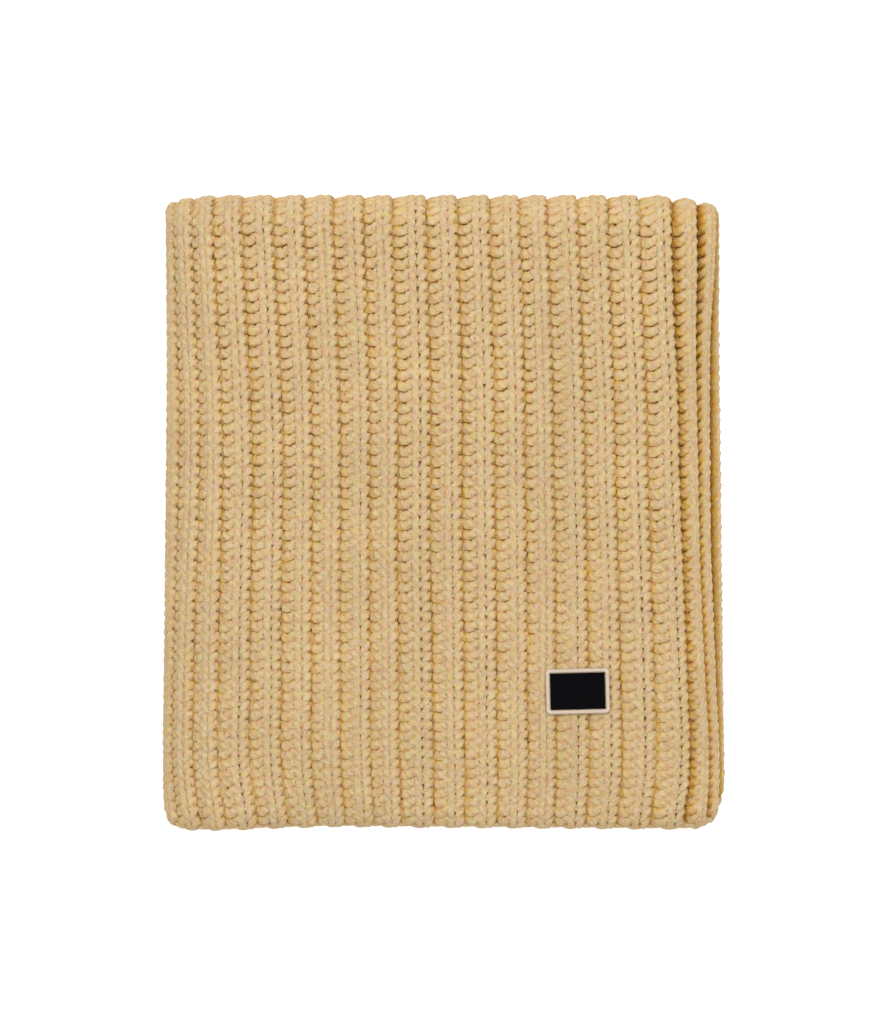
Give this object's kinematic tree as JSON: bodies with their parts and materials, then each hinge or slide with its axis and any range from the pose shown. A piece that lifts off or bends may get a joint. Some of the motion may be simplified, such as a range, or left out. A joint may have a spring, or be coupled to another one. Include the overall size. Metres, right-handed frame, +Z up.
{
  "type": "folded chunky rib-knit scarf",
  "caption": "Long rib-knit wool scarf in pale camel, folded crosswise into a flat rectangular stack, with a small bare black patch edged in cream near one end.",
  "frame": {"origin": "middle of the underside, on the surface that the stack lies on", "axes": "+Z up out of the stack, +Y along the ribs from the labelled end at the front to the back fold, +X to the right seen from above with the labelled end nearest"},
  "size_m": [0.3041, 0.3435, 0.0522],
  "materials": {
    "wool": "chunky rib-knit wool, matt, pale camel",
    "wool_shade": "the same knitted wool where it lies in the stack's shade",
    "label_black": "black twill",
    "label_cream": "cream overlocked edging thread"
  },
  "bodies": {
    "root": {"top_stretch": "wool", "under_stretch": "wool", "hidden_layers": "wool_shade", "label_field": "label_black", "label_border": "label_cream"}
  },
  "joints": []
}
